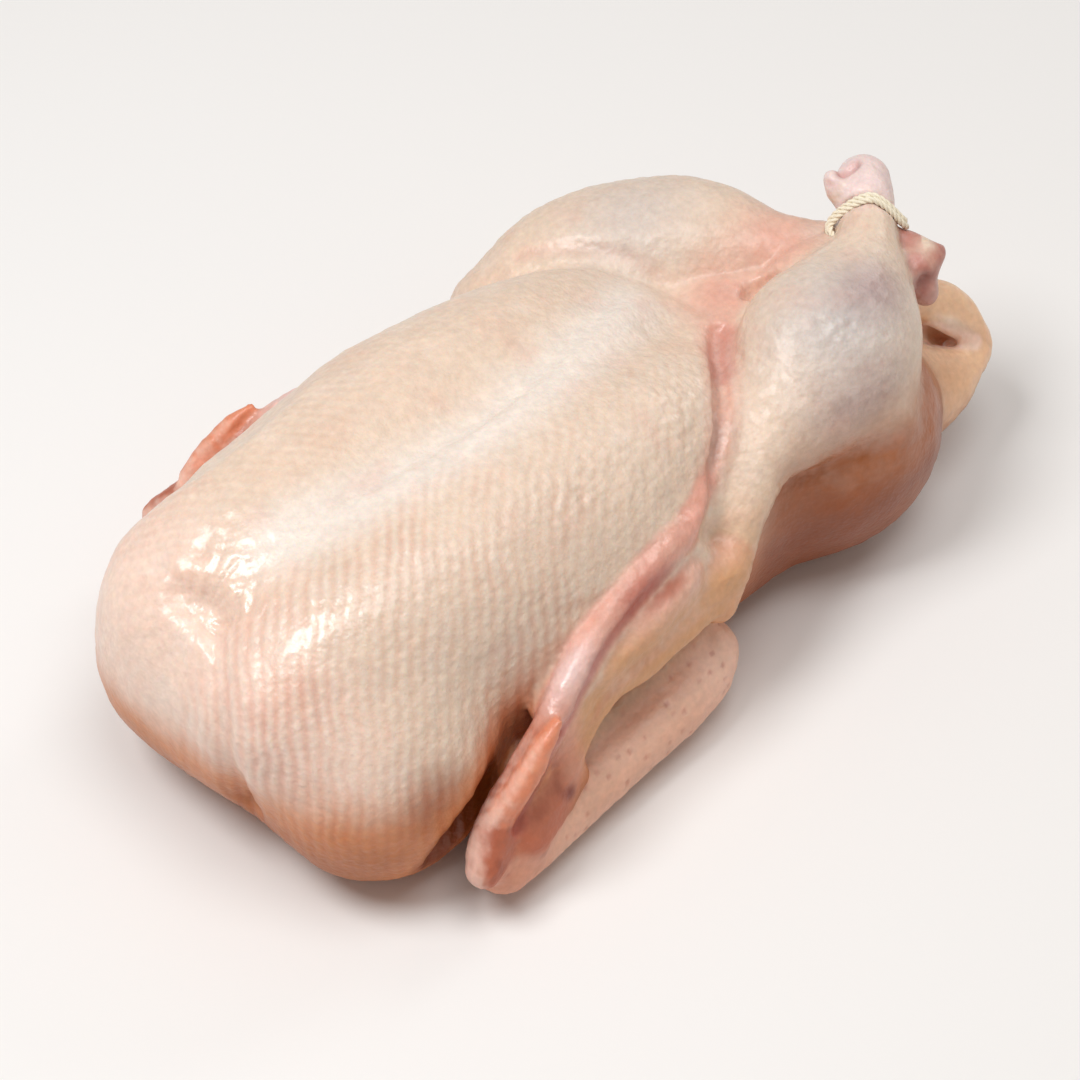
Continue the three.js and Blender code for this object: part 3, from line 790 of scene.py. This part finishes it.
class Graph:
    """A material's nodes, made and joined in one call each."""

    def __init__(self, name):
        self.material = bpy.data.materials.new(name)
        self.material.use_nodes = True
        self.tree = self.material.node_tree
        self.shader = self.tree.nodes["Principled BSDF"]

    def add(self, kind, inputs=None, **settings):
        node = self.tree.nodes.new(kind)
        for key, value in settings.items():
            setattr(node, key, value)
        for key, value in (inputs or {}).items():
            self.put(node.inputs[key], value)
        return node

    def put(self, socket, value):
        if isinstance(value, bpy.types.NodeSocket):
            self.tree.links.new(value, socket)
        else:
            socket.default_value = value

    def set(self, **inputs):
        for key, value in inputs.items():
            self.put(self.shader.inputs[key.replace("_", " ")], value)

    def grain(self, where, scale, detail):
        return self.add(
            "ShaderNodeTexNoise", {"Vector": where, "Scale": scale, "Detail": detail}
        ).outputs["Fac"]

    def ramp(self, value, low, high, to_low=0.0, to_high=1.0):
        return self.add(
            "ShaderNodeMapRange",
            {"Value": value, "From Min": low, "From Max": high, "To Min": to_low, "To Max": to_high},
        ).outputs["Result"]

    def bump(self, height, distance, strength=1.0, below=None):
        inputs = {"Height": height, "Distance": distance, "Strength": strength}
        if below is not None:
            inputs["Normal"] = below
        return self.add("ShaderNodeBump", inputs).outputs["Normal"]


def skin_material():
    """Tinted skin that shines where it is wet; its bumps are in metres."""
    graph = Graph("raw_skin")
    where = graph.add("ShaderNodeTexCoord").outputs["Object"]
    tint = graph.add("ShaderNodeAttribute", attribute_name="tint").outputs["Color"]
    wet = graph.add("ShaderNodeAttribute", attribute_name="wet").outputs["Fac"]
    speckle = graph.ramp(graph.grain(where, 420, 2), 0.35, 0.7, 0.95, 1.05)
    color = graph.add(
        "ShaderNodeMix", {"Factor": 1.0, "A": tint, "B": speckle},
        data_type="RGBA", blend_type="MULTIPLY",
    )
    cells = graph.add("ShaderNodeTexVoronoi", {"Vector": where, "Scale": 620.0}, feature="F1")
    pores = graph.bump(cells.outputs["Distance"], 0.0004, 0.35)
    film = graph.bump(graph.grain(where, 480, 2), 0.0006, 0.4, pores)
    graph.set(
        Roughness=graph.ramp(wet, 0, 1, 0.5, 0.3),
        Normal=film,
        Coat_Weight=graph.ramp(wet, 0, 1, 0.03, 0.55),
        Coat_Roughness=0.19,
        Subsurface_Weight=0.2,
        Subsurface_Radius=(1.0, 0.45, 0.25),
        Subsurface_Scale=0.004,
        Specular_IOR_Level=0.4,
    )
    graph.tree.links.new(color.outputs["Result"], graph.shader.inputs["Base Color"])
    return graph.material


def wetness(skin):
    """Where the skin's film of juice is thick enough to shine."""
    places = skin.places
    wet = 0.35 + 0.35 * cloud(places, 26, 71)
    for at, radius in WET_SPOTS:
        wet = wet + 0.6 * ball(places, at, radius)
    return np.clip(wet, 0, 1) * smooth_step(8, 50, places[:, 2])


def make_duck(turns):
    skin = Skin(fine_skin())
    skin.smooth(3)
    skin.smooth(12, where=ball(skin.places, HAND_ROOT, HAND_ROOT_SIZE))
    regions = Regions(skin.places)
    shape_keel(skin)
    shape_folds(skin)
    shape_wing(skin, skin.places)
    shape_wing(skin, as_left_wing(skin.places))
    shape_knobs(skin)
    add_unevenness(skin)
    wrinkle_dimple(skin)
    tops, valleys, pits = add_follicles(skin, regions)
    add_wet_wrinkles(skin)
    skin.smooth(1, 0.3)
    clear_twine(skin, turns)
    skin.places[:, 2] = np.maximum(skin.places[:, 2], 0)
    skin.write()
    add_color(skin.mesh, "tint", paint_skin(skin, regions, tops, valleys, pits))
    add_number(skin.mesh, "wet", wetness(skin))
    duck = object_from("duck_skin", skin.mesh)
    duck.data.materials.append(skin_material())
    duck.data.shade_smooth()
    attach(duck, "root")
    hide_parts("duck")


# ---- The twine ----------------------------------------------------------------------------------


def twine_turns():
    """The centre lines of the two turns, side by side, as the CAD source lays them."""
    middle = curve(TURN_PATH, steps=24, closed=True)
    ahead = unit(np.roll(middle, -1, 0) - np.roll(middle, 1, 0))
    across = unit(np.cross(ahead, unit(middle - SHANK_CROSSING)))
    return [middle + across * aside for aside in (-TWINE_PITCH / 2, TWINE_PITCH / 2)]


def even_loop(line, count):
    """A closed line again, as `count` points the same distance apart."""
    closed = np.concatenate([line, line[:1]])
    marks = np.concatenate([[0], np.cumsum(np.linalg.norm(np.diff(closed, axis=0), axis=1))])
    wanted = np.arange(count) / count * marks[-1]
    return np.stack([np.interp(wanted, marks, closed[:, axis]) for axis in range(3)], 1), marks[-1]


def tube_faces(rings, sides, first):
    faces = []
    for ring in range(rings):
        after = (ring + 1) % rings
        for side in range(sides):
            beside = (side + 1) % sides
            faces.append([first + ring * sides + side, first + ring * sides + beside,
                          first + after * sides + beside, first + after * sides + side])
    return faces


def round_about(angle, outward, beside):
    """The directions at an angle from outward towards beside."""
    return np.cos(angle)[..., None] * outward + np.sin(angle)[..., None] * beside


def make_twine(turns):
    """Each turn as plies laid round one another."""
    points, faces = [], []
    for number, turn in enumerate(turns):
        line, length = even_loop(turn, TWINE_RINGS)
        ahead = unit(np.roll(line, -1, 0) - np.roll(line, 1, 0))
        outward = line - SHANK_CROSSING
        outward = unit(outward - (outward * ahead).sum(1, keepdims=True) * ahead)
        beside = np.cross(ahead, outward)
        twists = round(length / PLY_PITCH)
        share = np.arange(TWINE_RINGS) / TWINE_RINGS
        angle = 2 * math.pi * np.arange(PLY_SIDES) / PLY_SIDES
        ring = round_about(angle, outward[:, None], beside[:, None])
        for ply in range(PLIES):
            twist = 2 * math.pi * (share * twists + ply / PLIES + SECOND_TURN_SHIFT * number)
            centre = line + PLY_OFFSET * round_about(twist, outward, beside)
            faces += tube_faces(TWINE_RINGS, PLY_SIDES, sum(len(p) for p in points))
            points.append((centre[:, None] + PLY_RADIUS * ring).reshape(-1, 3))
    mesh = mesh_from("twine_plies", (np.concatenate(points) - MIDDLE) * MM, np.array(faces))
    twine = object_from("twine_plies", mesh)
    twine.data.shade_smooth()
    twine.data.materials.append(twine_material())
    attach(twine, "root")
    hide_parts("twine")


def twine_material():
    graph = Graph("cotton_twine")
    where = graph.add("ShaderNodeTexCoord").outputs["Object"]
    fibre = graph.grain(where, 2600, 3)
    color = graph.add("ShaderNodeMix", {"Factor": fibre}, data_type="RGBA")
    color.inputs["A"].default_value = (*seen_as(236, 222, 190), 1)
    color.inputs["B"].default_value = (*seen_as(255, 250, 236), 1)
    graph.set(Roughness=0.85, Normal=graph.bump(fibre, 0.0003, 0.6), Sheen_Weight=0.2)
    graph.tree.links.new(color.outputs["Result"], graph.shader.inputs["Base Color"])
    return graph.material


# ---- Studio, in metres --------------------------------------------------------------------------

CAMERA_TOWARDS = Vector((-0.41318, -0.49240, 0.76604))  # from the duck: azimuth -130 and 50 degrees up
CAMERA_DISTANCE = 1.0
CAMERA_LENS = 100
CAMERA_AIM = Vector((0, 0, 0.045)) - Vector(MIDDLE) * MM
FLOOR_HALF = 4.0  # m


def direction(azimuth, elevation):
    """The unit vector towards a compass direction, in degrees; azimuth 0 is +X."""
    a, e = math.radians(azimuth), math.radians(elevation)
    return Vector((math.cos(e) * math.cos(a), math.cos(e) * math.sin(a), math.sin(e)))


def make_camera():
    data = bpy.data.cameras.new("camera")
    data.lens = CAMERA_LENS
    data.sensor_width = 36
    data.clip_start = 0.05
    camera = object_from("camera", data)
    camera.location = CAMERA_AIM + CAMERA_TOWARDS * CAMERA_DISTANCE
    camera.rotation_euler = CAMERA_TOWARDS.to_track_quat("Z", "Y").to_euler()
    bpy.context.scene.camera = camera


def make_floor():
    corners = FLOOR_HALF * np.array([[-1, -1, 0], [1, -1, 0], [1, 1, 0], [-1, 1, 0]])
    mesh = mesh_from("floor", corners, np.array([[0, 1, 2, 3]]))
    floor = object_from("floor", mesh)
    material = bpy.data.materials.new("pale_floor")
    material.use_nodes = True
    shader = material.node_tree.nodes["Principled BSDF"]
    shader.inputs["Base Color"].default_value = (0.88, 0.87, 0.86, 1)
    shader.inputs["Roughness"].default_value = 0.7
    floor.data.materials.append(material)


def make_light(name, towards, distance, size, power, color=(1, 1, 1)):
    data = bpy.data.lights.new(name, "AREA")
    data.shape = "DISK"
    data.size = size
    data.energy = power
    data.color = color
    light = object_from(name, data)
    light.location = CAMERA_AIM + towards * distance
    light.rotation_euler = towards.to_track_quat("Z", "Y").to_euler()


def make_world(strength, color):
    world = bpy.data.worlds.new("studio")
    world.use_nodes = True
    background = world.node_tree.nodes["Background"]
    background.inputs["Color"].default_value = (*color, 1)
    background.inputs["Strength"].default_value = strength
    bpy.context.scene.world = world


bpy.context.scene.view_settings.view_transform = "Standard"
twine_lines = twine_turns()
make_duck(twine_lines)
make_twine(twine_lines)
make_camera()
make_floor()
make_light("key", direction(160, 64), distance=1.4, size=0.55, power=10.9)
make_light("top", direction(-80, 80), distance=1.6, size=0.8, power=6.8)
make_light("back", direction(5, 38), distance=1.5, size=0.5, power=2)
make_light("glow", direction(-60, 14), distance=1.5, size=0.8, power=1.2, color=(1, 0.72, 0.45))
make_world(0.31, (1, 0.95, 0.9))
